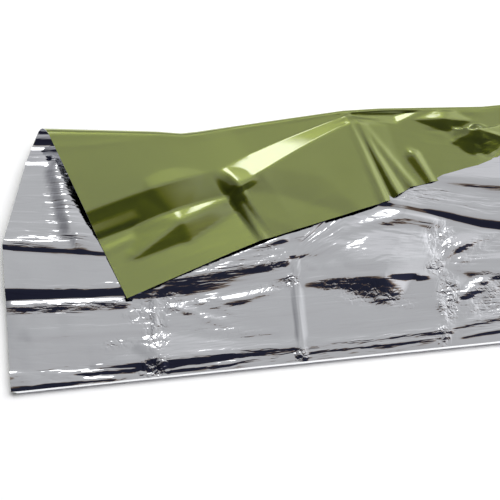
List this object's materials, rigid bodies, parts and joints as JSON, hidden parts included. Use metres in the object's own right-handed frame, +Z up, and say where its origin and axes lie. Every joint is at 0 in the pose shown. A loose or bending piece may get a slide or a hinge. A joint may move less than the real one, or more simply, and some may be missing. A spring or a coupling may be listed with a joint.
{
  "type": "emergency foil blanket",
  "caption": "Thin metallised film blanket, silver inside and olive outside, folded into a strip with its back edge turned over as a loose flap.",
  "frame": {"origin": "on the ground under the middle of the folded sheet's box", "axes": "+X along the front fold towards the far end, +Y from the front fold towards the roll, +Z up"},
  "size_m": [2.1656, 0.2612, 0.032],
  "materials": {
    "metallised_film": "crinkled metallised film, silver on one face and olive on the other"
  },
  "bodies": {
    "root": {"foil_sheet": "metallised_film"}
  },
  "joints": []
}
